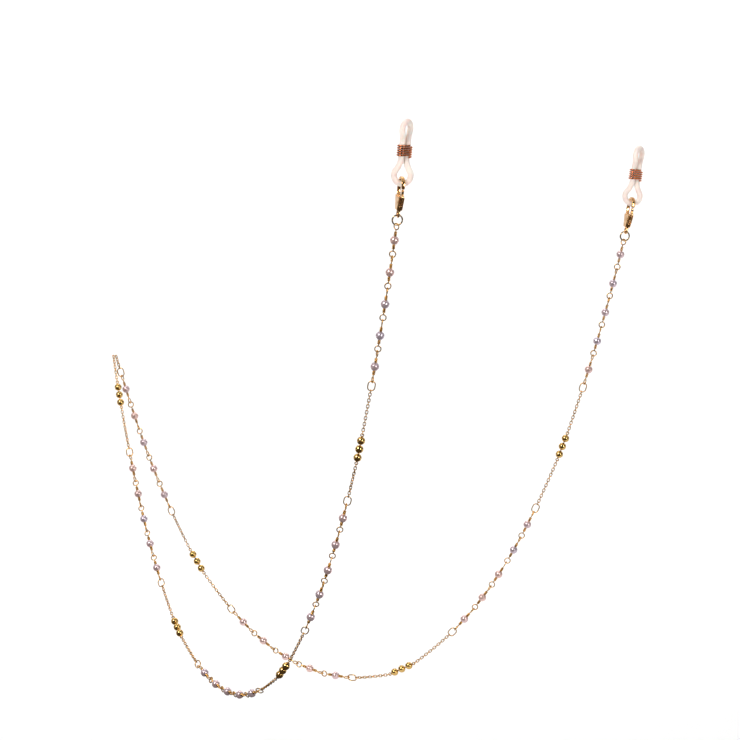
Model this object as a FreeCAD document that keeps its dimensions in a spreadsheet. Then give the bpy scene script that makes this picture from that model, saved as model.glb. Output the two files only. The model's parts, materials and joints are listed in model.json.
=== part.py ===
import FreeCAD, Part
import math
import os
from FreeCAD import Placement, Rotation, Vector

# Eyeglass retainer strap: a bead chain that hangs between the two temples of a pair of glasses.
# Frame: the origin is the centre of the near temple loop, +X runs to the far temple loop,
# +Y runs back along the temples, and +Z is up. The chain is held at the two temple loops and
# at one link, the apex link, which is hung up behind the glasses.

DRIVING_SIZES = {
    # where the strap is held
    "far_loop_x": 146.8, "far_loop_z": -1.85,
    "apex_x": 125.4, "apex_y": 182.7, "apex_z": -65.5,
    # silicone loop
    "cord_d": 1.7, "temple_bend": 2.2, "clasp_bend": 2.35, "limb_gap": 0.06,
    "loop_length": 14.4, "limb_top": 3.3, "limb_bottom": 8.2, "temple_bore": 1.45,
    # wire coil on the silicone loop
    "coil_wire_d": 0.5, "coil_turns": 5.0, "coil_pitch": 0.66, "coil_room": 0.07,
    "coil_near_z": 6.0, "coil_far_z": 6.2,
    # lobster clasp
    "clasp_length": 10.0, "clasp_room": 0.45, "claw_inner": 1.8, "claw_wall": 0.8,
    "claw_thick": 1.0, "clasp_thick": 1.7, "claw_straight": 1.3, "eye_bore": 0.75,
    "eye_outer": 1.25, "eye_thick": 0.6, "eye_room": 0.06,
    "lever_thick": 0.7, "lever_slot": 0.9, "pin_d": 0.6, "leaf_thick": 0.15,
    "leaf_width": 0.7,
    # jump ring
    "ring_pitch": 2.4, "ring_wire_d": 0.45, "ring_split_deg": 3.0,
    # pearl link
    "pearl_d": 2.55, "pearl_bore": 0.42, "pearl_pitch": 9.4, "wire_d": 0.35, "eye_od": 2.1,
    "wrap_turns": 3.0, "wrap_pitch": 0.42, "wrap_wire_d": 0.32, "wrap_start": 0.06,
    "wrap_bite": 0.02,
    # gold section
    "oval_pitch": 2.5, "oval_width": 2.4, "oval_wire_d": 0.35,
    "bead_d": 2.4, "bead_bore": 0.42, "bead_pitch": 2.72, "core_length": 9.6, "core_d": 0.35,
    "core_eye_od": 1.15, "core_eye_wire_d": 0.3,
    "cable_pitch": 0.92, "cable_width": 1.0, "cable_wire_d": 0.25,
    # the running gap in every joint between two links
    "link_gap": 0.04,
}

PEARLS_PER_RUN = 5
NEAR_RUNS = (1, 2, 3, 4)
FAR_RUNS = (8, 7, 6, 5)
# Cable links before and after the gold beads of each section, from the near clasp on. In the
# apex section the second chain is in two parts, with the apex link between them.
CABLE_LINKS = {1: (15, 12), 2: (16, 14), 3: (15, 14), 4: (16, 10), 5: (14, 15), 6: (13, 17),
               7: (17, 15)}
APEX_SECTION = 4
LINKS_AFTER_APEX = 5
# Weights in grams, which set how the strap hangs.
WEIGHT = {"grip": 0.15, "clasp": 0.25, "ring": 0.03, "pearl": 0.031, "oval": 0.012,
          "cable": 0.0015, "beads": 0.08}
# The direction that most loops face, and the direction across the silicone loops.
FACE = Vector(-0.866, -0.5, 0)
ACROSS = Vector(0.866, -0.5, 0)
# In degrees: which way the clasps, the oval links and the bead cores face, and how far a pearl
# wire's lower eye is turned from its upper eye. The first link of each strand hangs in the
# jump ring at a smaller turn than the rest, and has more twist in its wire.
CLASP_ROLL = 75.0
OVAL_ROLL = -10.0
CORE_ROLL = 0.0
FIRST_EYE_TURN = 55.0
FIRST_TWIST = 140.0
EYE_TWIST = 90.0
LAST_TWIST = 0.0

doc = FreeCAD.newDocument("eyeglass_retainer_strap")
sheet = doc.addObject("Spreadsheet::Sheet", "sizes")


def fill_sheet():
    for row, (alias, value) in enumerate(DRIVING_SIZES.items(), start=1):
        sheet.set("A%d" % row, alias)
        sheet.set("B%d" % row, str(value))
        sheet.setAlias("B%d" % row, alias)
    doc.recompute()


def size(alias):
    return float(sheet.get(alias))


fill_sheet()

PITCH = {"grip": size("loop_length"), "clasp": size("clasp_length"), "ring": size("ring_pitch"),
         "pearl": size("pearl_pitch"), "oval": size("oval_pitch"), "cable": size("cable_pitch"),
         "beads": size("core_length")}


# ---------------------------------------------------------------- how the chain hangs

class Piece:
    """One link of the strap, between the two points where it touches its neighbours."""

    def __init__(self, kind, group, number=0):
        self.kind = kind
        self.group = group
        self.number = number
        self.top = None
        self.bottom = None
        self.roll = 0.0
        self.twist = 0.0

    @property
    def along(self):
        return (self.bottom - self.top).normalize()

    @property
    def middle(self):
        return (self.top + self.bottom) * 0.5


def pearl_run(run):
    return [Piece("pearl", run, k) for k in range(PEARLS_PER_RUN)]


def cable(group, count):
    return [Piece("cable", group, k) for k in range(count)]


def near_pieces():
    """From the near temple to the apex link."""
    pieces = [Piece("grip", "near"), Piece("clasp", "near"), Piece("ring", "near")]
    for run in NEAR_RUNS:
        pieces += pearl_run(run)
        before, after = CABLE_LINKS[run]
        pieces.append(Piece("oval", "near", run))
        pieces += cable("%da" % run, before)
        pieces.append(Piece("beads", run))
        pieces += cable("%db" % run, after)
        if run != APEX_SECTION:
            pieces.append(Piece("oval", "near", run))
    return pieces


def far_pieces():
    """From the far temple to the apex link."""
    pieces = [Piece("grip", "far"), Piece("clasp", "far"), Piece("ring", "far")]
    for run in FAR_RUNS:
        pieces += pearl_run(run)
        pieces.append(Piece("oval", "far", run))
        section = run - 1
        if section == APEX_SECTION:
            pieces += cable("%dc" % section, LINKS_AFTER_APEX)
        else:
            before, after = CABLE_LINKS[section]
            pieces += cable("%db" % section, after)
            pieces.append(Piece("beads", section))
            pieces += cable("%da" % section, before)
            pieces.append(Piece("oval", "far", section))
    return pieces


def hanging_steps(lengths, weights, run, rise):
    """Level and upright steps of a chain of stiff links that hangs between two points.

    The pull at the start has a level part and an upright part. Newton's method finds the
    pair that puts the last link's end at (run, rise).
    """
    total = sum(weights)
    hung = []
    carried = 0.0
    for weight in weights:
        hung.append(carried + weight / 2)
        carried += weight

    def steps(log_level, upright):
        level = math.exp(log_level)
        out = []
        for length, below in zip(lengths, hung):
            fall = upright - below
            pull = math.hypot(level, fall)
            out.append((length * level / pull, -length * fall / pull))
        return out

    def miss(log_level, upright):
        out = steps(log_level, upright)
        return sum(p[0] for p in out) - run, sum(p[1] for p in out) - rise

    log_level, upright = math.log(0.15 * total), 0.5 * total
    for _ in range(80):
        error_x, error_z = miss(log_level, upright)
        if max(abs(error_x), abs(error_z)) < 1e-10:
            break
        tiny = 1e-7
        ax, az = miss(log_level + tiny, upright)
        bx, bz = miss(log_level, upright + tiny)
        axx, azz = (ax - error_x) / tiny, (az - error_z) / tiny
        bxx, bzz = (bx - error_x) / tiny, (bz - error_z) / tiny
        det = axx * bzz - bxx * azz
        step_a = (-error_x * bzz + error_z * bxx) / det
        step_b = (-error_z * axx + error_x * azz) / det
        limit = max(abs(step_a) / 0.7, abs(step_b) / (0.3 * total), 1.0)
        log_level += step_a / limit
        upright += step_b / limit
    return steps(log_level, upright)


def hang(pieces, start, end):
    """Place a strand's pieces between its two held points."""
    span = end - start
    level = Vector(span.x, span.y, 0)
    run = level.Length
    level.normalize()
    steps = hanging_steps([PITCH[p.kind] for p in pieces], [WEIGHT[p.kind] for p in pieces],
                          run, span.z)
    point = Vector(start)
    for piece, (forward, upward) in zip(pieces, steps):
        piece.top = Vector(point)
        point = point + level * forward + Vector(0, 0, upward)
        piece.bottom = Vector(point)


def apex_frame():
    """The apex link's middle, and the level direction along it from near to far."""
    middle = Vector(size("apex_x"), size("apex_y"), size("apex_z"))
    to_near = Vector(-middle.x, -middle.y, 0).normalize()
    to_far = Vector(size("far_loop_x") - middle.x, -middle.y, 0).normalize()
    return middle, (to_far - to_near).normalize()


def apex_ends():
    """Where the last link of each strand hangs, on top of the apex link's end wires."""
    middle, lengthways = apex_frame()
    wire = size("cable_wire_d")
    reach = size("cable_pitch") / 2 + wire / 2
    lift = Vector(0, 0, wire / 2 + size("link_gap"))
    return middle - lengthways * reach + lift, middle + lengthways * reach + lift


# ---------------------------------------------------------------- which way each link faces

def facing(piece, roll):
    """The normal of a link's plane: square to the link, and turned by roll from FACE."""
    along = piece.along
    first = (FACE - along * FACE.dot(along)).normalize()
    second = along.cross(first)
    angle = math.radians(roll)
    return first * math.cos(angle) + second * math.sin(angle)


def roll_of(piece, normal):
    along = piece.along
    first = (FACE - along * FACE.dot(along)).normalize()
    second = along.cross(first)
    return math.degrees(math.atan2(normal.dot(second), normal.dot(first)))


def wander(index, spread):
    """A repeatable unevenness between -spread and spread degrees."""
    return spread * math.sin(2.4 * index + 0.9)


def lower_roll(piece):
    """The roll of the eye or ring end that the next piece hangs from."""
    return piece.roll + piece.twist


def pearl_twist(piece, before):
    if before.kind == "ring":
        return FIRST_TWIST
    return EYE_TWIST if piece.number < PEARLS_PER_RUN - 1 else LAST_TWIST


def set_rolls(pieces, end_normal):
    """Neighbouring links stand about a quarter turn apart. Each cable chain takes up the
    twist between the pieces at its two ends a little at each of its links."""
    for index, piece in enumerate(pieces):
        before = pieces[index - 1]
        if piece.kind == "clasp":
            piece.roll = CLASP_ROLL
        elif piece.kind == "ring":
            piece.roll = before.roll + 90.0
        elif piece.kind == "pearl":
            turn = FIRST_EYE_TURN if before.kind == "ring" else 90.0 + wander(index, 14.0)
            piece.roll = lower_roll(before) + turn
            piece.twist = pearl_twist(piece, before)
        elif piece.kind == "oval" and before.kind == "pearl":
            piece.roll = lower_roll(before) + 90.0 + wander(index, 10.0)
        elif piece.kind == "oval":
            piece.roll = OVAL_ROLL + wander(index, 12.0)
        elif piece.kind == "beads":
            piece.roll = CORE_ROLL
    index = 0
    while index < len(pieces):
        if pieces[index].kind != "cable":
            index += 1
            continue
        first = index
        while index < len(pieces) and pieces[index].kind == "cable":
            index += 1
        start = pieces[first - 1].roll + 90.0
        if index < len(pieces):
            finish = pieces[index].roll + 90.0
        else:
            finish = roll_of(pieces[-1], end_normal)
        links = index - first
        square = start + 90.0 * (links - 1)
        twist = (finish - square + 90.0) % 180.0 - 90.0
        for k in range(links):
            pieces[first + k].roll = start + (90.0 + twist / (links - 1)) * k


def piece_placement(piece, roll=None, point=None):
    """Local +Z runs back towards the held end, and local Y is the normal of the link's plane."""
    normal = facing(piece, piece.roll if roll is None else roll)
    up = piece.along * -1
    turn = Rotation(normal.cross(up), normal, up, "ZYX")
    return Placement(piece.middle if point is None else point, turn)


# ---------------------------------------------------------------- helpers for the document

def new_body(label):
    body = doc.addObject("PartDesign::Body", label)
    body.Label = label
    return body


def bind(thing, **expressions):
    for prop, expression in expressions.items():
        thing.setExpression(prop, expression)


def place(thing, x=0, y=0, z=0, axis=None, angle=0):
    turn = Rotation(axis, angle) if axis else Rotation()
    thing.Placement = Placement(Vector(x, y, z), turn)
    return thing


def feature(label, shape, placement=None):
    thing = doc.addObject("Part::Feature", label)
    thing.Label = label
    thing.Shape = shape
    if placement is not None:
        thing.Placement = placement
    return thing


X_AXIS, Y_AXIS, Z_AXIS = Vector(1, 0, 0), Vector(0, 1, 0), Vector(0, 0, 1)


# ---------------------------------------------------------------- the pieces, each in its own axes

def drilled_ball(label, diameter, bore):
    body = new_body(label)
    ball = body.newObject("PartDesign::AdditiveSphere", label + "_ball")
    bind(ball, Radius="sizes.%s / 2" % diameter)
    hole = body.newObject("PartDesign::SubtractiveCylinder", label + "_hole")
    bind(hole, Radius="sizes.%s / 2" % bore, Height="sizes.%s * 1.2" % diameter)
    hole.setExpression("Placement.Base.z", "-sizes.%s * 0.6" % diameter)
    return body


def obround_link(label, pitch, width, wire):
    """A closed link in the XZ plane: two half rings and two straight sides."""
    body = new_body(label)
    radius = "(%s - %s) / 2" % (width, wire)
    offset = "((%s + sizes.link_gap) / 2 + %s - %s / 2)" % (pitch, wire, width)
    for end, sign, angle in (("upper", "", 90), ("lower", "-", -90)):
        half = body.newObject("PartDesign::AdditiveTorus", "%s_%s" % (label, end))
        bind(half, Radius1=radius, Radius2="%s / 2" % wire)
        half.Angle3 = 180
        flat = Rotation(X_AXIS, 90)
        half.Placement = Placement(Vector(0, 0, 0), flat if sign == "" else
                                   Rotation(Y_AXIS, 180).multiply(flat))
        half.setExpression("Placement.Base.z", sign + offset)
    for side, sign in (("left", "-"), ("right", "")):
        limb = body.newObject("PartDesign::AdditiveCylinder", "%s_%s" % (label, side))
        bind(limb, Radius="%s / 2" % wire, Height="2 * " + offset)
        limb.setExpression("Placement.Base.x", sign + radius)
        limb.setExpression("Placement.Base.z", "-" + offset)
    return body


def wrapped_shank():
    """The straight wire through a pearl, with the turns that close it on both sides."""
    body = new_body("wrapped_shank_unit")
    shank = body.newObject("PartDesign::AdditiveCylinder", "shank")
    reach = "(sizes.pearl_pitch / 2 + sizes.link_gap / 2 + 1.5 * sizes.wire_d - sizes.eye_od)"
    bind(shank, Radius="sizes.wire_d / 2", Height="2 * " + reach)
    shank.setExpression("Placement.Base.z", "-" + reach)
    for side in (-1, 1):
        for turn in range(int(size("wrap_turns"))):
            wrap = body.newObject("PartDesign::AdditiveTorus", "wrap")
            bind(wrap, Radius1="sizes.wire_d / 2 + sizes.wrap_wire_d / 2 - sizes.wrap_bite",
                 Radius2="sizes.wrap_wire_d / 2")
            wrap.setExpression("Placement.Base.z",
                               "%d * (sizes.pearl_d / 2 + sizes.wrap_start + "
                               "sizes.wrap_wire_d / 2 + "
                               "%d * sizes.wrap_pitch)" % (side, turn))
    return body


def plain_ring(label, outer, wire):
    body = new_body(label)
    ring = body.newObject("PartDesign::AdditiveTorus", label + "_ring")
    bind(ring, Radius1="(%s - %s) / 2" % (outer, wire), Radius2="%s / 2" % wire)
    place(ring, axis=X_AXIS, angle=90)
    return body


def jump_ring(label):
    """A split ring. Its two ends meet at the side."""
    body = new_body(label)
    ring = body.newObject("PartDesign::AdditiveTorus", label + "_ring")
    bind(ring, Radius1="(sizes.ring_pitch + sizes.link_gap + sizes.ring_wire_d) / 2",
         Radius2="sizes.ring_wire_d / 2", Angle3="360 - sizes.ring_split_deg")
    place(ring, axis=X_AXIS, angle=90)
    return body


def bead_core():
    """The straight wire through three gold beads, with a closed eye at each end."""
    body = new_body("bead_core_unit")
    half = "(sizes.core_length / 2 + sizes.link_gap / 2)"
    rod = body.newObject("PartDesign::AdditiveCylinder", "core_rod")
    reach = "(%s + 1.5 * sizes.core_eye_wire_d - sizes.core_eye_od)" % half
    bind(rod, Radius="sizes.core_d / 2", Height="2 * " + reach)
    rod.setExpression("Placement.Base.z", "-" + reach)
    for sign in ("", "-"):
        eye = body.newObject("PartDesign::AdditiveTorus", "core_eye")
        bind(eye, Radius1="(sizes.core_eye_od - sizes.core_eye_wire_d) / 2",
             Radius2="sizes.core_eye_wire_d / 2")
        place(eye, axis=X_AXIS, angle=90)
        eye.setExpression("Placement.Base.z", "%s(%s + sizes.core_eye_wire_d - "
                          "sizes.core_eye_od / 2)" % (sign, half))
    return body


def tangent_point(centre, radius, other):
    toward = (other - centre).normalize()
    return centre + toward * radius


def loop_half(limb_x, end_z, bend_z, bend_radius, sign):
    """The arc that swings out from a straight limb to a round end, and where it meets it."""
    drop = abs(bend_z - end_z)
    swing = (bend_radius ** 2 - limb_x ** 2 - drop ** 2) / (2 * (limb_x - bend_radius))
    swing_centre = Vector(limb_x + swing, 0, end_z)
    bend_centre = Vector(0, 0, bend_z)
    meet = tangent_point(bend_centre, bend_radius, swing_centre)
    half_way = (Vector(limb_x, 0, end_z) + meet) * 0.5
    middle = swing_centre + (half_way - swing_centre).normalize() * swing
    return [Vector(sign * v.x, 0, v.z) for v in (Vector(limb_x, 0, end_z), middle, meet)]


def silicone_loop_shape():
    """One closed cord: a round end for the temple, two limbs side by side through the coil,
    and a wider round end for the clasp. Its plane is XZ, and its temple end is at the origin."""
    cord = size("cord_d") / 2
    limb_x = cord + size("limb_gap") / 2
    top_radius = size("temple_bend")
    low_radius = size("clasp_bend")
    low_z = -(size("loop_length") + cord - low_radius)
    edges = []
    ends = {}
    for sign in (1, -1):
        upper = loop_half(limb_x, -size("limb_top"), 0, top_radius, sign)
        lower = loop_half(limb_x, -size("limb_bottom"), low_z, low_radius, sign)
        edges.append(Part.Arc(*upper).toShape())
        edges.append(Part.LineSegment(upper[0], lower[0]).toShape())
        edges.append(Part.Arc(*lower).toShape())
        ends[sign] = (upper[2], lower[2])
    edges.append(Part.Arc(ends[1][0], Vector(0, 0, top_radius), ends[-1][0]).toShape())
    edges.append(Part.Arc(ends[1][1], Vector(0, 0, low_z - low_radius), ends[-1][1]).toShape())
    tube = sweep_round(edges, cord)
    land = Part.makeCylinder(size("temple_bore"), 4 * cord, Vector(0, -2 * cord, 0), Y_AXIS)
    return tube.cut(land)


def sweep_round(edges, radius):
    """A round section carried along tangent lines and arcs, as cylinders and ring sectors."""
    solids = []
    for edge in edges:
        start = edge.valueAt(edge.FirstParameter)
        tangent = edge.tangentAt(edge.FirstParameter)
        disc = Part.Face(Part.Wire(Part.makeCircle(radius, start, tangent)))
        if edge.Curve.TypeId == "Part::GeomLine":
            finish = edge.valueAt(edge.LastParameter)
            solids.append(disc.extrude(finish - start))
        else:
            curve = edge.Curve
            angle = math.degrees(edge.LastParameter - edge.FirstParameter)
            solids.append(disc.revolve(curve.Center, curve.Axis, angle))
    joined = solids[0]
    for solid in solids[1:]:
        joined = joined.fuse(solid)
    return joined.removeSplitter()


def coil_path():
    """A helix with a flattened round: half turns round each limb, and straight stretches
    that climb at the same slope between them."""
    cord = size("cord_d") / 2
    half_wide = cord + size("limb_gap") / 2
    radius = cord + size("coil_room") + size("coil_wire_d") / 2
    turn_length = 2 * math.pi * radius + 4 * half_wide
    slope = size("coil_pitch") / turn_length
    arc_rise = slope * math.pi * radius
    line_rise = slope * 2 * half_wide
    edges = []
    z = -size("coil_turns") * size("coil_pitch") / 2
    for _ in range(int(size("coil_turns"))):
        for side in (1, -1):
            arc = Part.makeHelix(2 * arc_rise, arc_rise, radius)
            arc.rotate(Vector(), Z_AXIS, -90 if side == 1 else 90)
            arc.translate(Vector(side * half_wide, 0, z))
            edges += arc.Edges
            z += arc_rise
            start = Vector(side * half_wide, side * radius, z)
            finish = Vector(-side * half_wide, side * radius, z + line_rise)
            edges.append(Part.LineSegment(start, finish).toShape())
            z += line_rise
    return Part.Wire(edges)


def coil_shape():
    path = coil_path()
    first = path.Edges[0]
    start = first.valueAt(first.FirstParameter)
    tangent = first.tangentAt(first.FirstParameter)
    profile = Part.Wire(Part.makeCircle(size("coil_wire_d") / 2, start, tangent))
    maker = Part.BRepOffsetAPI.MakePipeShell(path)
    maker.setBiNormalMode(Z_AXIS)
    maker.add(profile)
    maker.build()
    maker.makeSolid()
    return maker.shape()


def clasp_numbers():
    half = size("clasp_length") / 2
    top = half + size("clasp_room")
    claw_z = top - size("claw_inner")
    low_z = claw_z - size("claw_straight")
    eye_z = -half - size("link_gap") / 2 - size("eye_room") + size("eye_bore")
    return claw_z, low_z, eye_z


# Heights and distances in the clasp's own axes, in mm.
PIVOT = Vector(-1.25, 0, -0.75)
LEVER_TOP = 2.95
GATE_LOW = 0.8
GATE_GAP = 0.08
GATE_INNER_X = -1.0
CHEEK_TOP = 0.7
CHEEK_INSET = 0.25
SLOT_FAR_X = 0.6
SLOT_TOP = 1.4
SLOT_DROP = 1.3
LEVER_BOSS = 0.7
LEVER_TIP_DROP = 0.2
LEVER_HALF = 0.68
LEVER_SHOULDER = (-2.3, 0.8)
LEVER_OUTER_LOW = 1.5
LEVER_INNER_LOW = 1.7
KNOB = ((-2.2, 0.35), (-3.1, 0.55), (-3.35, 0.9), (-3.2, 1.25), (-2.5, 1.5))
SPRING_X = 0.5


def prism(points, thickness):
    """A flat plate in the XZ plane with the given outline, centred on Y."""
    corners = [Vector(x, -thickness / 2, z) for x, z in points]
    face = Part.Face(Part.makePolygon(corners + corners[:1]))
    return face.extrude(Vector(0, thickness, 0))


def disc_plate(radius, x, z, thickness):
    return Part.makeCylinder(radius, thickness, Vector(x, -thickness / 2, z), Y_AXIS)


def clasp_body_shape():
    """Claw, cheeks on both sides of the lever, and the eye, in the XZ plane."""
    claw_z, low_z, eye_z = clasp_numbers()
    inner = size("claw_inner")
    outer = inner + size("claw_wall")
    thin = size("claw_thick")
    thick = size("clasp_thick")
    neck = 0.9 * size("eye_outer")
    neck_z = eye_z + 0.8 * size("eye_outer")
    claw = disc_plate(outer, 0, claw_z, thin)
    claw = claw.fuse(prism([(-outer, low_z), (outer, low_z), (outer, claw_z), (-outer, claw_z)],
                           thin))
    claw = claw.fuse(prism([(-outer, low_z), (outer, low_z), (neck, neck_z), (-neck, neck_z)],
                           thin))
    waist = outer - CHEEK_INSET
    cheeks = prism([(-waist, CHEEK_TOP), (waist, CHEEK_TOP), (neck, neck_z), (-neck, neck_z)],
                   thick)
    solid = claw.fuse(cheeks)
    eye_thick = size("eye_thick")
    solid = solid.fuse(disc_plate(size("eye_outer"), 0, eye_z, eye_thick))
    solid = solid.fuse(prism([(-neck, eye_z), (neck, eye_z), (neck, neck_z), (-neck, neck_z)],
                             eye_thick))
    opening = disc_plate(inner, 0, claw_z, 2 * thick)
    opening = opening.fuse(disc_plate(inner, 0, low_z, 2 * thick))
    opening = opening.fuse(prism([(-inner, low_z), (inner, low_z), (inner, claw_z),
                                  (-inner, claw_z)], 2 * thick))
    solid = solid.cut(opening)
    beyond = -outer - 1
    gate_top = LEVER_TOP + GATE_GAP
    solid = solid.cut(prism([(beyond, GATE_LOW), (GATE_INNER_X, GATE_LOW),
                             (GATE_INNER_X, gate_top), (beyond, gate_top)], 2 * thick))
    slot_low = PIVOT.z - SLOT_DROP
    slot = prism([(beyond, slot_low), (SLOT_FAR_X, slot_low), (SLOT_FAR_X, SLOT_TOP),
                  (beyond, SLOT_TOP)], size("lever_slot"))
    solid = solid.cut(slot)
    solid = solid.cut(disc_plate(size("eye_bore"), 0, eye_z, 2 * thick))
    solid = solid.cut(disc_plate(size("pin_d") / 2 + 0.01, PIVOT.x, PIVOT.z, 2 * thick))
    return solid.removeSplitter()


def lever_shape():
    """The gate arm, its thumb knob and the boss that turns on the pin."""
    thin = size("lever_thick")
    outer = size("claw_inner") + size("claw_wall")
    tip_z = LEVER_TOP - LEVER_TIP_DROP
    inner = size("claw_inner")
    arm = prism([(PIVOT.x - LEVER_HALF, PIVOT.z), LEVER_SHOULDER, (-outer, LEVER_OUTER_LOW),
                 (-outer, tip_z), (-inner, LEVER_TOP), (-inner, LEVER_INNER_LOW),
                 (PIVOT.x + LEVER_HALF, PIVOT.z)], thin)
    knob = prism(KNOB, thin)
    boss = disc_plate(LEVER_BOSS, PIVOT.x, PIVOT.z, thin)
    lever = arm.fuse(knob).fuse(boss)
    bore = disc_plate(size("pin_d") / 2 + 0.04, PIVOT.x, PIVOT.z, 2 * thin)
    return lever.cut(bore).removeSplitter()


def leaf_shape():
    """The leaf spring that stands against the end of the lever's slot."""
    back = SPRING_X - size("leaf_thick")
    low = PIVOT.z - SLOT_DROP + GATE_GAP
    return prism([(back, low), (SPRING_X, low), (SPRING_X, 0), (back, 0)], size("leaf_width"))


def lever_pin(label):
    body = new_body(label)
    pin = body.newObject("PartDesign::AdditiveCylinder", label + "_pin")
    bind(pin, Radius="sizes.pin_d / 2", Height="sizes.clasp_thick")
    place(pin, x=PIVOT.x, z=PIVOT.z, axis=X_AXIS, angle=-90)
    pin.setExpression("Placement.Base.y", "-sizes.clasp_thick / 2")
    return body


# ---------------------------------------------------------------- assembly

def placed(shape, placement):
    copy = shape.copy()
    copy.Placement = placement.multiply(copy.Placement)
    return copy


def group_feature(label, shapes_and_places):
    """Several separate solids in one sub-part, in the axes of the first of them."""
    base = shapes_and_places[0][1]
    back = base.inverse()
    solids = [placed(shape, back.multiply(spot)) for shape, spot in shapes_and_places]
    return feature(label, Part.makeCompound(solids), base)


def build_end(side, grip, clasp, ring, parts):
    """Silicone loop, coil, clasp and jump ring at one temple."""
    across = ACROSS - grip.along * ACROSS.dot(grip.along)
    across.normalize()
    up = grip.along * -1
    frame = Placement(grip.top, Rotation(across, up.cross(across), up, "ZXY"))
    parts.append(feature("silicone_loop_" + side, SILICONE, frame))
    coil_spot = Placement(Vector(0, 0, -size("coil_%s_z" % side)), Rotation())
    parts.append(feature("grip_coil_" + side, COIL, frame.multiply(coil_spot)))
    clasp_frame = piece_placement(clasp)
    parts.append(feature("clasp_body_" + side, CLASP_BODY, clasp_frame))
    parts.append(feature("clasp_lever_" + side, LEVER, clasp_frame))
    parts.append(feature("lever_spring_" + side, LEAF, clasp_frame))
    for body in (lever_pin("lever_pin_" + side), jump_ring("jump_ring_" + side)):
        body.Placement = clasp_frame if "pin" in body.Label else piece_placement(ring)
        parts.append(body)


def pearl_wire_shape(twist):
    """The wire of one pearl link. Its lower eye is turned by twist from its upper eye."""
    reach = size("pearl_pitch") / 2 + size("link_gap") / 2 + size("wire_d") - size("eye_od") / 2
    upper = placed(EYE.Shape, Placement(Vector(0, 0, reach), Rotation()))
    lower = placed(EYE.Shape, Placement(Vector(0, 0, -reach), Rotation(Z_AXIS, -twist)))
    return SHANK.Shape.fuse(upper).fuse(lower).removeSplitter()


def build_strand(side, pieces, parts):
    by_run = {}
    cables = {}
    ovals = []
    cores = []
    beads = {}
    for piece in pieces:
        spot = piece_placement(piece)
        if piece.kind == "pearl":
            by_run.setdefault(piece.group, []).append(piece)
        elif piece.kind == "cable":
            cables.setdefault(piece.group, []).append((CABLE_LINK.Shape, spot))
        elif piece.kind == "oval":
            ovals.append((OVAL_LINK.Shape, spot))
        elif piece.kind == "beads":
            cores.append((CORE.Shape, spot))
            step = piece.along * size("bead_pitch")
            beads[piece.group] = [(GOLD.Shape, piece_placement(piece, point=piece.middle + step * k))
                                  for k in (-1, 0, 1)]
    for run, links in sorted(by_run.items()):
        wires = []
        pearls = []
        for link in links:
            spot = piece_placement(link)
            wires.append((WIRES[link.twist], spot))
            pearls.append((PEARL.Shape, spot))
        parts.append(group_feature("pearl_wires_%d" % run, wires))
        parts.append(group_feature("pearls_%d" % run, pearls))
    for group, links in sorted(cables.items()):
        parts.append(group_feature("cable_chain_" + group, links))
    for group, balls in sorted(beads.items()):
        parts.append(group_feature("gold_beads_%d" % group, balls))
    parts.append(group_feature("oval_links_" + side, ovals))
    parts.append(group_feature("bead_cores_" + side, cores))


def build_apex_link():
    middle, lengthways = apex_frame()
    turn = Rotation(lengthways.cross(Z_AXIS), Z_AXIS, lengthways, "ZYX")
    return feature("apex_link", CABLE_LINK.Shape, Placement(middle, turn))


PEARL = drilled_ball("pearl_unit", "pearl_d", "pearl_bore")
GOLD = drilled_ball("gold_bead_unit", "bead_d", "bead_bore")
CABLE_LINK = obround_link("cable_link_unit", "sizes.cable_pitch", "sizes.cable_width",
                          "sizes.cable_wire_d")
OVAL_LINK = obround_link("oval_link_unit", "sizes.oval_pitch", "sizes.oval_width",
                         "sizes.oval_wire_d")
EYE = plain_ring("pearl_eye_unit", "sizes.eye_od", "sizes.wire_d")
SHANK = wrapped_shank()
CORE = bead_core()
doc.recompute()
WIRES = {twist: pearl_wire_shape(twist) for twist in (FIRST_TWIST, EYE_TWIST, LAST_TWIST)}
SILICONE = silicone_loop_shape()
COIL = coil_shape()
CLASP_BODY = clasp_body_shape()
LEVER = lever_shape()
LEAF = leaf_shape()

near = near_pieces()
far = far_pieces()
near_end, far_end = apex_ends()
hang(near, Vector(0, 0, 0), near_end)
hang(far, Vector(size("far_loop_x"), 0, size("far_loop_z")), far_end)
sideways = apex_frame()[1].cross(Z_AXIS)
set_rolls(near, sideways)
set_rolls(far, sideways)

sub_parts = []
build_end("near", near[0], near[1], near[2], sub_parts)
build_end("far", far[0], far[1], far[2], sub_parts)
build_strand("near", near, sub_parts)
build_strand("far", far, sub_parts)
sub_parts.append(build_apex_link())
doc.recompute()

for thing in doc.Objects:
    if "Invalid" in thing.State or "Error" in thing.State:
        raise RuntimeError("%s did not build" % thing.Label)
os.makedirs("parts", exist_ok=True)
for part in sub_parts:
    if part.Shape.isNull() or not part.Shape.isValid():
        raise RuntimeError("%s has a bad shape" % part.Label)
for part in sub_parts:
    part.Shape.exportStep(os.path.join("parts", part.Label + ".step"))

# Facts that the record needs: where each strand, run and bead group turns.
for name, strand in (("near", near), ("far", far)):
    length = sum(PITCH[p.kind] for p in strand)
    lowest = min(p.bottom.z for p in strand)
    print(name, "strand %.2f mm, lowest %.2f" % (length, lowest), "clasp hangs at",
          tuple(round(v, 4) for v in strand[1].top))
print(len(sub_parts), "sub-parts")
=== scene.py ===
import json
import math

import bmesh
import bpy
from mathutils import Matrix, Vector


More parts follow.
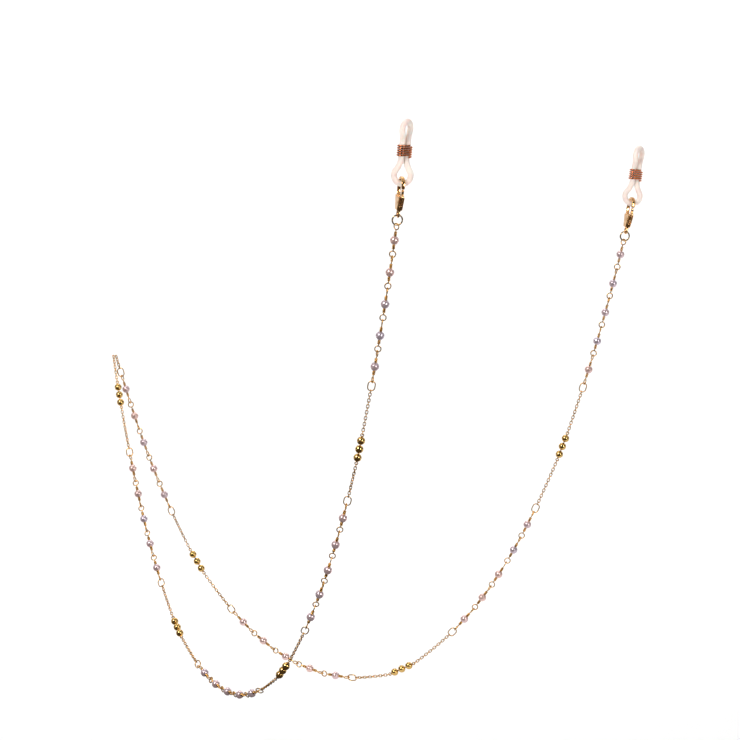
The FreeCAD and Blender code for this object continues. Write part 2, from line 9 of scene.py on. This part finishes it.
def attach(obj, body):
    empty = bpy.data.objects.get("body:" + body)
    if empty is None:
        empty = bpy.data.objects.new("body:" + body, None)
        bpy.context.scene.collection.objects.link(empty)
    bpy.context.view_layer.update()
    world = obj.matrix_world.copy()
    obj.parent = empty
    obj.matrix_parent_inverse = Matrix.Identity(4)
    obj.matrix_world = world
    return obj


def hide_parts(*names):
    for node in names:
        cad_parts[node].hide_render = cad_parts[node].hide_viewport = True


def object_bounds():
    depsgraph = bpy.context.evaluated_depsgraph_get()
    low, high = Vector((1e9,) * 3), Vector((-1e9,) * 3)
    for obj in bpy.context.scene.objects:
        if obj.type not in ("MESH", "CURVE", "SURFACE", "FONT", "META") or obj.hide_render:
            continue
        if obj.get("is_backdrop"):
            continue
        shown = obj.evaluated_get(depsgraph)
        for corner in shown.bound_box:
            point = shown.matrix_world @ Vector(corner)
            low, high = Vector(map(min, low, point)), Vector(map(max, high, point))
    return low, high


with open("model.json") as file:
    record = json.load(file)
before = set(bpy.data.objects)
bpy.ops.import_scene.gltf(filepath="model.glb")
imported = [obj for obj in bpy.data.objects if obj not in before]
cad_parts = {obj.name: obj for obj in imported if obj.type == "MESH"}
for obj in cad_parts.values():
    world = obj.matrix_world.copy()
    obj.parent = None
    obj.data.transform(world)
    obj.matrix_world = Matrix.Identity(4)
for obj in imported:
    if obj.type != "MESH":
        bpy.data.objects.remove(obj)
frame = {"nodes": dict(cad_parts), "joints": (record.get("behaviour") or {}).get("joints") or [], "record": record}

# Eyeglass retainer strap, in metres, in the CAD's frame: the origin is the near temple loop,
# +X runs to the far loop, +Y runs back along the temples, and +Z is up.
MM = 0.001
SIDES = ("near", "far")
# The way the camera looks.
AHEAD = Vector((0.8646, 0.5022, -0.0179)).normalized()


def mount(name):
    return next(m for m in frame["record"]["mounts"] if m["name"] == name)


def joint(name):
    return next(j for j in frame["joints"] if j["name"] == name)


def smooth(x):
    x = min(max(x, 0.0), 1.0)
    return x * x * (3 - 2 * x)


# ---------------------------------------------------------------- materials

class Nodes:
    """A material's node tree, with short calls to add and join its nodes."""

    def __init__(self, name):
        self.material = bpy.data.materials.new(name)
        self.material.use_nodes = True
        self.tree = self.material.node_tree
        self.tree.nodes.clear()
        self.out = self.add("ShaderNodeOutputMaterial")
        self.shader = self.add("ShaderNodeBsdfPrincipled")
        self.join(self.shader, "BSDF", self.out, "Surface")

    def add(self, kind, **values):
        node = self.tree.nodes.new(kind)
        for key, value in values.items():
            setattr(node, key, value)
        return node

    def join(self, a, a_name, b, b_name):
        self.tree.links.new(a.outputs[a_name], b.inputs[b_name])

    def set(self, node=None, **values):
        node = node or self.shader
        for key, value in values.items():
            node.inputs[key.replace("_", " ")].default_value = value

    def noise(self, scale, detail):
        where = self.add("ShaderNodeTexCoord")
        noise = self.add("ShaderNodeTexNoise")
        self.set(noise, Scale=scale, Detail=detail)
        self.join(where, "Object", noise, "Vector")
        return noise

    def ramp(self, source, output, stops):
        ramp = self.add("ShaderNodeValToRGB")
        while len(ramp.color_ramp.elements) < len(stops):
            ramp.color_ramp.elements.new(0.5)
        for element, (at, colour) in zip(ramp.color_ramp.elements, stops):
            element.position = at
            element.color = (*colour, 1.0)
        self.join(source, output, ramp, "Fac")
        return ramp

    def range(self, source, output, low, high):
        change = self.add("ShaderNodeMapRange")
        self.set(change, To_Min=low, To_Max=high)
        self.join(source, output, change, "Value")
        return change

    def bump(self, source, output, distance, strength=1.0):
        bump = self.add("ShaderNodeBump")
        self.set(bump, Distance=distance, Strength=strength)
        self.join(source, output, bump, "Height")
        self.join(bump, "Normal", self.shader, "Normal")


# How fine the noise in the metals is: its slow change of colour, and its grain.
TONE_SCALE, GRAIN_SCALE = 900.0, 2600.0


def metal(name, dark, light, rough_low, rough_high, bump=0.0):
    """Polished plating: a slow change of colour, a fine change of roughness, soft dents."""
    n = Nodes(name)
    tone = n.noise(TONE_SCALE, 2.0)
    colour = n.ramp(tone, "Fac", [(0.3, dark), (0.7, light)])
    n.join(colour, "Color", n.shader, "Base Color")
    grain = n.noise(GRAIN_SCALE, 4.0)
    rough = n.range(grain, "Fac", rough_low, rough_high)
    n.join(rough, "Result", n.shader, "Roughness")
    n.set(Metallic=1.0)
    if bump:
        n.bump(tone, "Fac", bump)
    return n.material


def nacre():
    """Pearl coating: a slow drift from cool grey to warm pink, with a thin bright coat."""
    n = Nodes("pearl_nacre")
    drift = n.noise(55.0, 2.0)
    colour = n.ramp(drift, "Fac", [(0.38, (0.54, 0.46, 0.53)), (0.5, (0.66, 0.49, 0.50)),
                                   (0.62, (0.74, 0.51, 0.46))])
    n.join(colour, "Color", n.shader, "Base Color")
    grain = n.noise(3000.0, 3.0)
    rough = n.range(grain, "Fac", 0.12, 0.22)
    n.join(rough, "Result", n.shader, "Roughness")
    n.set(Metallic=0.7, Coat_Weight=0.5, Coat_Roughness=0.04)
    n.bump(grain, "Fac", 0.000012, 0.6)
    return n.material


def silicone():
    """Milky soft silicone that lets some light through, faintly pink."""
    n = Nodes("silicone_milky")
    cloud = n.noise(420.0, 3.0)
    colour = n.ramp(cloud, "Fac", [(0.35, (0.80, 0.69, 0.64)), (0.65, (0.90, 0.80, 0.73))])
    n.join(colour, "Color", n.shader, "Base Color")
    rough = n.range(cloud, "Fac", 0.26, 0.38)
    n.join(rough, "Result", n.shader, "Roughness")
    n.set(Subsurface_Weight=0.75, Subsurface_Scale=0.001, IOR=1.41, Transmission_Weight=0.12,
          Coat_Weight=0.12, Coat_Roughness=0.25)
    n.shader.inputs["Subsurface Radius"].default_value = (1.0, 0.7, 0.6)
    n.bump(cloud, "Fac", 0.00003, 0.5)
    return n.material


def paper(name, colour):
    n = Nodes(name)
    n.set(Base_Color=(*colour, 1.0), Roughness=0.9, Specular_IOR_Level=0.1)
    return n.material


GOLD_DARK, GOLD_LIGHT = (0.46, 0.25, 0.07), (0.72, 0.42, 0.14)
FINISHES = {
    "silicone": silicone(),
    "coil": metal("coil_copper", (0.56, 0.17, 0.07), (0.80, 0.33, 0.15), 0.08, 0.18),
    "pearl": nacre(),
    "gold_beads": metal("bead_gold", (0.56, 0.35, 0.11), (0.70, 0.46, 0.17), 0.05, 0.12),
    "clasp": metal("clasp_rose_gold", (0.66, 0.34, 0.13), (0.88, 0.54, 0.25), 0.07, 0.15,
                   0.00003),
    "spring": metal("spring_steel", (0.42, 0.42, 0.43), (0.58, 0.58, 0.58), 0.22, 0.4),
    "ring_wire": metal("ring_gold", (0.38, 0.25, 0.12), (0.56, 0.39, 0.20), 0.08, 0.18),
    "wire": metal("wire_gold", GOLD_DARK, GOLD_LIGHT, 0.14, 0.28),
    "chain_wire": metal("chain_gold", GOLD_DARK, GOLD_LIGHT, 0.14, 0.28),
}


def finish_cad_nodes():
    for part in frame["record"]["subparts"]:
        node = frame["nodes"][part["node"]]
        node.data.materials.clear()
        node.data.materials.append(FINISHES[part["material_slot"]])


# ---------------------------------------------------------------- silicone temple loops

# The loop in its own plane, in mm: a round end for the temple, two straight limbs, and a
# wider round end for the clasp. Heights run down from the middle of the temple end.
CORD_R = 0.85
LIMB_X = 0.88
TOP_R, LOW_R = 2.2, 2.35
LIMB_TOP, LIMB_BOTTOM = -3.3, -8.2
LOW_Z = -12.9
# The loop is twisted: in degrees about its length, from its own plane.
TOP_TURN, LOW_TURN = 30.0, -30.0
TOP_TWIST, LOW_TWIST = (-3.6, -0.8), (-8.4, -11.6)
# How finely the loop is cut up: along its bends and limbs, and round the cord.
BEND_STEPS, LIMB_STEPS, CORD_SIDES = 14, 16, 28


def arc(centre, radius, start, end, count):
    steps = [start + (end - start) * k / count for k in range(count)]
    return [Vector((centre[0] + radius * math.cos(a), centre[1] + radius * math.sin(a)))
            for a in steps]


def half_loop(end_z, bend_z, bend_radius):
    """From the end of the right limb round to the middle of the bend, in (x, z)."""
    drop = abs(bend_z - end_z)
    swing = (bend_radius ** 2 - LIMB_X ** 2 - drop ** 2) / (2 * (LIMB_X - bend_radius))
    away = 1 if bend_z > end_z else -1
    centre = (LIMB_X + swing, 0.0)
    tilt = math.atan2(drop, LIMB_X + swing)
    points = arc(centre, swing, math.pi, math.pi - tilt, BEND_STEPS)
    points += arc((0.0, drop), bend_radius, -tilt, math.pi / 2, 2 * BEND_STEPS)
    return [Vector((p.x, end_z + away * p.y)) for p in points]


def loop_line():
    """The closed centre line of the cord, in (x, z)."""
    top = half_loop(LIMB_TOP, 0.0, TOP_R)
    low = half_loop(LIMB_BOTTOM, LOW_Z, LOW_R)
    limb = [Vector((LIMB_X, LIMB_BOTTOM + (LIMB_TOP - LIMB_BOTTOM) * k / LIMB_STEPS))
            for k in range(1, LIMB_STEPS)]
    right = list(reversed(low)) + limb + top
    top_middle, low_middle = Vector((0.0, TOP_R)), Vector((0.0, LOW_Z - LOW_R))
    left = [Vector((-p.x, p.y)) for p in reversed(right)]
    return [low_middle] + right + [top_middle] + left


def turn_at(z):
    top = smooth((z - TOP_TWIST[0]) / (TOP_TWIST[1] - TOP_TWIST[0]))
    low = smooth((LOW_TWIST[0] - z) / (LOW_TWIST[0] - LOW_TWIST[1]))
    return math.radians(TOP_TURN * top + LOW_TURN * low)


def tube(name, points, radius):
    """A closed round tube along a closed line. The frame is carried along without spin, and
    what spin is left at the end is shared out."""
    count = len(points)
    tangents = [(points[(k + 1) % count] - points[k - 1]).normalized() for k in range(count)]
    normal = tangents[0].orthogonal().normalized()
    normals = [normal]
    for k in range(1, count + 1):
        turn = tangents[k - 1].rotation_difference(tangents[k % count])
        normal = turn @ normal
        normals.append(normal)
    first, last = normals[0], normals[-1]
    left = math.atan2(first.cross(last).dot(tangents[0]), first.dot(last))
    mesh = bmesh.new()
    rings = []
    for k in range(count):
        spin = Matrix.Rotation(-left * k / count, 3, tangents[k])
        u = spin @ normals[k]
        v = tangents[k].cross(u)
        rings.append([mesh.verts.new(points[k] + radius * (u * math.cos(a) + v * math.sin(a)))
                      for a in (2 * math.pi * s / CORD_SIDES for s in range(CORD_SIDES))])
    for k in range(count):
        here, there = rings[k], rings[(k + 1) % count]
        for s in range(CORD_SIDES):
            t = (s + 1) % CORD_SIDES
            mesh.faces.new((here[s], here[t], there[t], there[s])).smooth = True
    bmesh.ops.recalc_face_normals(mesh, faces=mesh.faces)
    data = bpy.data.meshes.new(name)
    mesh.to_mesh(data)
    mesh.free()
    thing = bpy.data.objects.new(name, data)
    bpy.context.scene.collection.objects.link(thing)
    return thing


def build_loop(side):
    top = Vector(mount(side + "_temple_loop")["pos_m"])
    bottom = Vector(joint(side + "_strand_swing")["pos_m"])
    face = Vector(mount(side + "_temple_loop")["axis"])
    up = (top - bottom).normalized()
    across = face.cross(up).normalized()
    if across.x < 0:
        across = -across
    points = []
    for p in loop_line():
        turned = Matrix.Rotation(turn_at(p.y), 3, up) @ across
        points.append(top + MM * (turned * p.x + up * p.y))
    loop = tube("silicone_cord_" + side, points, CORD_R * MM)
    loop.data.materials.append(FINISHES["silicone"])
    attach(loop, "root")
    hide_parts("silicone_loop_" + side)


# ---------------------------------------------------------------- cast clasps

# How the cast pieces are rounded: voxel size in metres, and rounds of smoothing.
BODY_WEAR = (0.00009, 40)
LEVER_WEAR = (0.00008, 16)


def rounded_copy(node, name, voxel, rounds, body):
    """A cast look: the node's shape with its edges worn round."""
    source = frame["nodes"][node]
    thing = bpy.data.objects.new(name, source.data.copy())
    bpy.context.scene.collection.objects.link(thing)
    for key in list(thing.keys()):
        del thing[key]
    remesh = thing.modifiers.new("remesh", "REMESH")
    remesh.mode = "VOXEL"
    remesh.voxel_size = voxel
    remesh.use_smooth_shade = True
    wear = thing.modifiers.new("wear", "SMOOTH")
    wear.factor = 0.5
    wear.iterations = rounds
    bpy.context.view_layer.update()
    seen = thing.evaluated_get(bpy.context.evaluated_depsgraph_get())
    data = bpy.data.meshes.new_from_object(seen)
    thing.modifiers.clear()
    thing.data = data
    for face in data.polygons:
        face.use_smooth = True
    data.materials.clear()
    data.materials.append(FINISHES["clasp"])
    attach(thing, body)
    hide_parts(node)


# ---------------------------------------------------------------- set, light and camera

# All in metres. The floor lies FLOOR_DROP below the strap, from FLOOR_NEAR to FLOOR_FAR ahead
# of its middle, and then bends up with the radius SWEEP_R to the height SWEEP_TOP.
FLOOR_DROP = 0.02
FLOOR_NEAR, FLOOR_FAR = -2.6, 1.7
SWEEP_R, SWEEP_TOP, SWEEP_STEPS = 0.6, 3.4, 16
SWEEP_HALF_WIDTH = 3.0
# Places are given as ahead of the strap's middle, to its left, and up.
MIDDLE = (0.0, 0.0, 0.0)
# Each light: name, place, what it points at, size, power in watts.
LIGHTS = (
    ("key", (-1.1, 0.75, 0.75), MIDDLE, (0.45, 0.45), 15.0),
    ("fill", (-1.1, -0.8, 0.15), MIDDLE, (0.25, 0.6), 7.0),
    ("paper_left", (0.9, 0.9, 0.9), (2.2, 0.0, -0.05), (0.5, 0.5), 9.0),
    ("paper_right", (0.9, -0.9, 0.9), (2.2, 0.0, -0.05), (0.5, 0.5), 9.0),
    ("overhead", (0.35, 0.0, 1.0), (0.35, 0.0, 0.0), (0.6, 0.6), 3.0),
)
# Each card: name, place, what it faces, size, and whether it shows in reflections only.
CARDS = (
    ("card_front", (-2.3, 0.0, 0.1), MIDDLE, (7.0, 5.0), False),
    ("card_low", (-0.75, 0.0, -0.1), (-0.75, 0.0, 0.0), (1.35, 1.35), True),
    ("card_left", (-0.2, 2.0, 0.0), MIDDLE, (1.2, 1.6), False),
    ("card_right", (-0.2, -2.0, 0.0), MIDDLE, (1.2, 1.6), False),
)
PAPER, CARD = (0.93, 0.93, 0.93), (0.07, 0.055, 0.04)
WORLD_STRENGTH = 0.5
CAMERA_AT = (-0.86701, -0.49195, -0.04873)
CAMERA_LENS, CAMERA_SENSOR = 175.1, 36.0


def set_piece(name, mesh, material):
    data = bpy.data.meshes.new(name)
    mesh.to_mesh(data)
    mesh.free()
    thing = bpy.data.objects.new(name, data)
    data.materials.append(material)
    bpy.context.scene.collection.objects.link(thing)
    thing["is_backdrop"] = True
    return thing


def stage_set():
    """A pale floor that sweeps up behind the strap."""
    low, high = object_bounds()
    middle = (low + high) / 2
    ahead = Vector((AHEAD.x, AHEAD.y, 0.0)).normalized()
    side = Vector((-ahead.y, ahead.x, 0.0))
    profile = [(FLOOR_NEAR, 0.0), (FLOOR_FAR, 0.0)]
    profile += [(FLOOR_FAR + SWEEP_R * math.sin(a), SWEEP_R - SWEEP_R * math.cos(a))
                for a in (math.pi / 2 * k / SWEEP_STEPS for k in range(1, SWEEP_STEPS + 1))]
    profile.append((FLOOR_FAR + SWEEP_R, SWEEP_TOP))
    mesh = bmesh.new()
    rows = []
    for away, rise in profile:
        centre = Vector((middle.x, middle.y, low.z - FLOOR_DROP)) + ahead * away
        rows.append([mesh.verts.new(centre + side * w + Vector((0, 0, rise)))
                     for w in (-SWEEP_HALF_WIDTH, SWEEP_HALF_WIDTH)])
    for here, there in zip(rows, rows[1:]):
        mesh.faces.new((here[0], here[1], there[1], there[0])).smooth = True
    bmesh.ops.recalc_face_normals(mesh, faces=mesh.faces)
    set_piece("sweep", mesh, paper("pale_paper", PAPER))
    return middle, ahead, side


def aim(thing, place, target):
    thing.location = place
    thing.rotation_euler = (target - place).to_track_quat("-Z", "Y").to_euler()


def area_light(name, place, target, size, power):
    lamp = bpy.data.lights.new(name, "AREA")
    lamp.shape = "RECTANGLE"
    lamp.size, lamp.size_y = size
    lamp.energy = power
    thing = bpy.data.objects.new(name, lamp)
    aim(thing, place, target)
    bpy.context.scene.collection.objects.link(thing)
    thing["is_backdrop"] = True


def dark_card(name, place, target, size, mirror_only):
    """A dark board out of view, which gives the polished metal something dark to mirror."""
    mesh = bmesh.new()
    w, h = size[0] / 2, size[1] / 2
    mesh.faces.new([mesh.verts.new(c) for c in ((-w, -h, 0), (w, -h, 0), (w, h, 0), (-w, h, 0))])
    card = set_piece(name, mesh, paper(name, CARD))
    aim(card, place, target)
    card.visible_camera = False
    if mirror_only:
        card.visible_shadow = card.visible_diffuse = card.visible_transmission = False


def light_set(middle, ahead, side):
    def spot(offset):
        return middle + ahead * offset[0] + side * offset[1] + Vector((0, 0, offset[2]))

    for name, place, target, size, power in LIGHTS:
        area_light(name, spot(place), spot(target), size, power)
    for name, place, target, size, mirror_only in CARDS:
        dark_card(name, spot(place), spot(target), size, mirror_only)
    world = bpy.data.worlds.new("studio")
    bpy.context.scene.world = world
    world.use_nodes = True
    back = world.node_tree.nodes["Background"]
    back.inputs["Color"].default_value = (1.0, 1.0, 1.0, 1.0)
    back.inputs["Strength"].default_value = WORLD_STRENGTH


def camera_set():
    camera = bpy.data.cameras.new("camera")
    camera.sensor_width = CAMERA_SENSOR
    camera.lens = CAMERA_LENS
    camera.dof.use_dof = False
    camera.clip_start, camera.clip_end = 0.05, 10.0
    thing = bpy.data.objects.new("camera", camera)
    bpy.context.scene.collection.objects.link(thing)
    thing.location = CAMERA_AT
    thing.rotation_mode = "QUATERNION"
    thing.rotation_quaternion = AHEAD.to_track_quat("-Z", "Y")
    bpy.context.scene.camera = thing


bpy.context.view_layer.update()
finish_cad_nodes()
for end in SIDES:
    build_loop(end)
    rounded_copy("clasp_body_" + end, "cast_clasp_" + end, *BODY_WEAR, end + "_strand")
    rounded_copy("clasp_lever_" + end, "cast_lever_" + end, *LEVER_WEAR, "clasp_lever_" + end)
light_set(*stage_set())
camera_set()
bpy.context.scene.view_settings.view_transform = "Standard"
